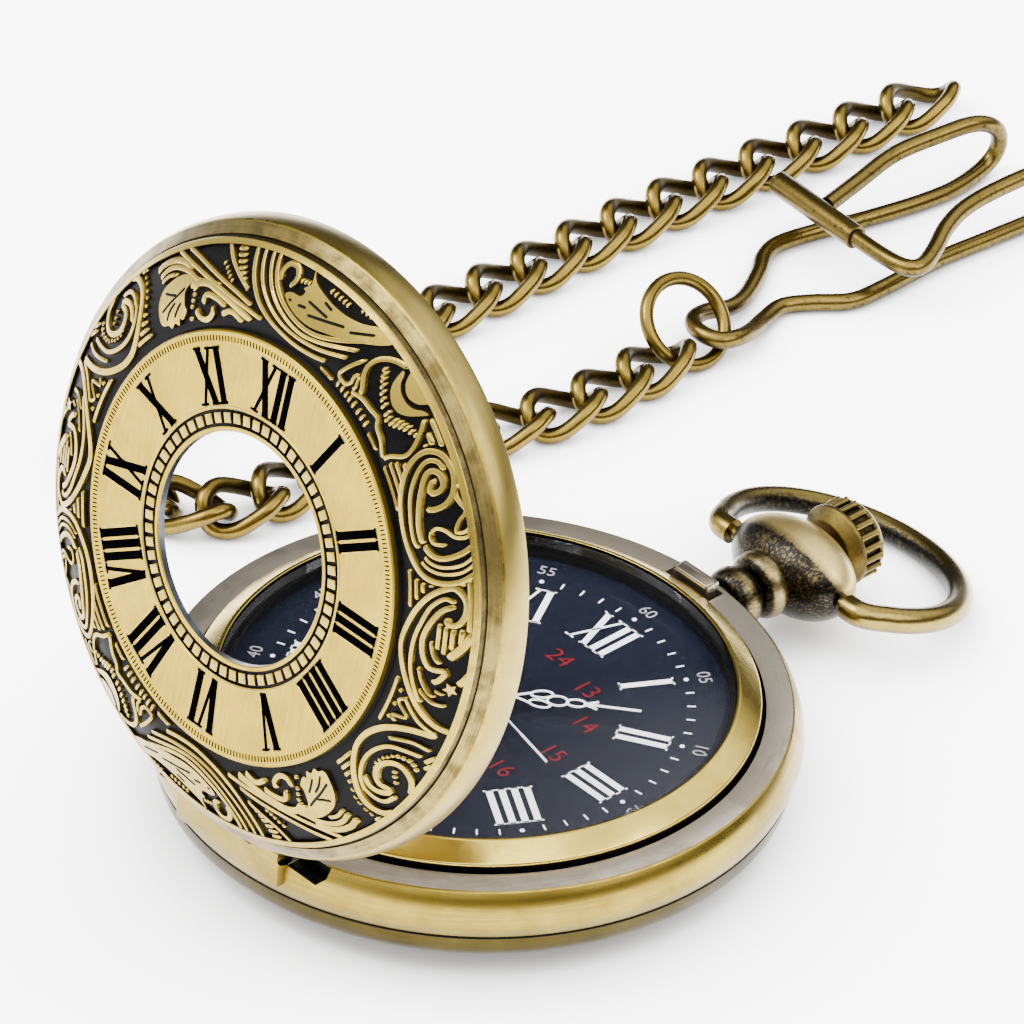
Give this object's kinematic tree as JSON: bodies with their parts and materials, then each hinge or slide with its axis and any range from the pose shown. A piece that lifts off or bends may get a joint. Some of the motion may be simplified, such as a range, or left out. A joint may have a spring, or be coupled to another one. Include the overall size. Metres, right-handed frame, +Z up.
{
  "type": "pocket watch",
  "caption": "Hunter pocket watch lying on its back with its pierced front cover open, a swinging bow, a push crown, a going train, and a loose curb chain with jump ring and wire clip.",
  "frame": {"origin": "centre of the flat on the case back, on the surface the watch lies on", "axes": "+Z up out of the dial, +Y to the crown at 12 o'clock, +X to 3 o'clock, cover hinge at -Y"},
  "size_m": [0.0749, 0.1158, 0.0525],
  "materials": {
    "gold_brass": "brushed antique gold",
    "crystal_glass": "polished clear",
    "dial_enamel": "gloss black with printed figures",
    "hand_metal": "pale painted",
    "dark_bronze": "antique bronze patina",
    "crown_brass": "worn satin",
    "spring_steel": "ground",
    "movement_brass": "plain",
    "rotor_steel": "plain",
    "motor_copper": "copper winding on soft iron",
    "cell_steel": "bright"
  },
  "bodies": {
    "case": {"case_body": "gold_brass", "case_back": "gold_brass", "hinge_pin": "spring_steel", "bezel": "gold_brass", "crystal": "crystal_glass", "dial": "dial_enamel", "pendant": "dark_bronze", "lift_spring": "spring_steel", "main_plate": "movement_brass", "train_bridge": "spring_steel", "battery": "cell_steel", "step_motor": "motor_copper", "chain_link_01": "dark_bronze", "chain_link_02": "dark_bronze", "chain_link_03": "dark_bronze", "chain_link_04": "dark_bronze", "chain_link_05": "dark_bronze", "chain_link_06": "dark_bronze", "chain_link_07": "dark_bronze", "chain_link_08": "dark_bronze", "chain_link_09": "dark_bronze", "chain_link_10": "dark_bronze", "chain_link_11": "dark_bronze", "chain_link_12": "dark_bronze", "chain_link_13": "dark_bronze", "chain_link_14": "dark_bronze", "chain_link_15": "dark_bronze", "chain_link_16": "dark_bronze", "chain_link_17": "dark_bronze", "chain_link_18": "dark_bronze", "chain_link_19": "dark_bronze", "chain_link_20": "dark_bronze", "chain_link_21": "dark_bronze", "chain_link_22": "dark_bronze", "chain_link_23": "dark_bronze", "chain_link_24": "dark_bronze", "chain_link_25": "dark_bronze", "chain_link_26": "dark_bronze", "chain_link_27": "dark_bronze", "chain_link_28": "dark_bronze", "chain_link_29": "dark_bronze", "chain_link_30": "dark_bronze", "jump_ring": "dark_bronze", "clip_wire": "dark_bronze", "clip_sleeve": "dark_bronze"},
    "cover": {"front_cover": "gold_brass"},
    "bow": {"bow": "dark_bronze"},
    "stem": {"stem": "spring_steel"},
    "crown": {"crown": "crown_brass"},
    "catch": {"catch_spring": "spring_steel"},
    "seconds": {"seconds_wheel": "movement_brass", "seconds_hand": "hand_metal"},
    "minute": {"centre_wheel": "movement_brass", "minute_hand": "hand_metal"},
    "hour": {"hour_wheel": "movement_brass", "hour_hand": "hand_metal"},
    "third": {"third_wheel": "movement_brass"},
    "intermediate": {"intermediate_wheel": "movement_brass"},
    "rotor": {"rotor": "rotor_steel"},
    "minute_work": {"minute_wheel": "movement_brass"}
  },
  "joints": [
    {"name": "cover_hinge", "type": "hinge", "parent": "case", "child": "cover", "pos_m": [0, -0.02272, 0.00812], "axis": [1, 0, 0], "range_deg": [-76.7, 0], "stiffness_Nm_per_rad": 0.0018, "springref_deg": 20.05},
    {"name": "bow_swing", "type": "hinge", "parent": "case", "child": "bow", "pos_m": [0, 0.031, 0.005], "axis": [1, 0, 0], "range_deg": [-75, 110]},
    {"name": "stem_turn", "type": "hinge", "parent": "case", "child": "stem", "pos_m": [0, 0.02, 0.005], "axis": [0, 1, 0], "continuous": true},
    {"name": "crown_slide", "type": "slide", "parent": "stem", "child": "crown", "axis": [0, 1, 0], "range_m": [-0.0006, 0.0009]},
    {"name": "catch_flex", "type": "hinge", "parent": "case", "child": "catch", "pos_m": [-0.01667, 0.01211, 0.0062], "axis": [0, 0, 1], "range_deg": [-1.5, 0], "stiffness_Nm_per_rad": 0.02},
    {"name": "seconds_turn", "type": "hinge", "parent": "case", "child": "seconds", "pos_m": [0, 0, 0.004], "axis": [0, 0, 1], "continuous": true},
    {"name": "minute_turn", "type": "hinge", "parent": "case", "child": "minute", "pos_m": [0, 0, 0.004], "axis": [0, 0, 1], "continuous": true},
    {"name": "hour_turn", "type": "hinge", "parent": "case", "child": "hour", "pos_m": [0, 0, 0.004], "axis": [0, 0, 1], "continuous": true},
    {"name": "third_turn", "type": "hinge", "parent": "case", "child": "third", "pos_m": [0.00376, -0.00137, 0.004], "axis": [0, 0, 1], "continuous": true},
    {"name": "intermediate_turn", "type": "hinge", "parent": "case", "child": "intermediate", "pos_m": [-0.0041, 0, 0.004], "axis": [0, 0, 1], "continuous": true},
    {"name": "rotor_turn", "type": "hinge", "parent": "case", "child": "rotor", "pos_m": [-0.00572, 0.00193, 0.004], "axis": [0, 0, 1], "continuous": true},
    {"name": "minute_work_turn", "type": "hinge", "parent": "case", "child": "minute_work", "pos_m": [-0.00042, -0.00236, 0.004], "axis": [0, 0, 1], "continuous": true}
  ],
  "couplings": [
    {"joint": "third_turn", "follows": "seconds_turn", "ratio": -0.13333},
    {"joint": "minute_turn", "follows": "seconds_turn", "ratio": 0.016667},
    {"joint": "minute_work_turn", "follows": "seconds_turn", "ratio": -0.0055556},
    {"joint": "hour_turn", "follows": "seconds_turn", "ratio": 0.0013889},
    {"joint": "intermediate_turn", "follows": "seconds_turn", "ratio": -5},
    {"joint": "rotor_turn", "follows": "seconds_turn", "ratio": 30}
  ]
}
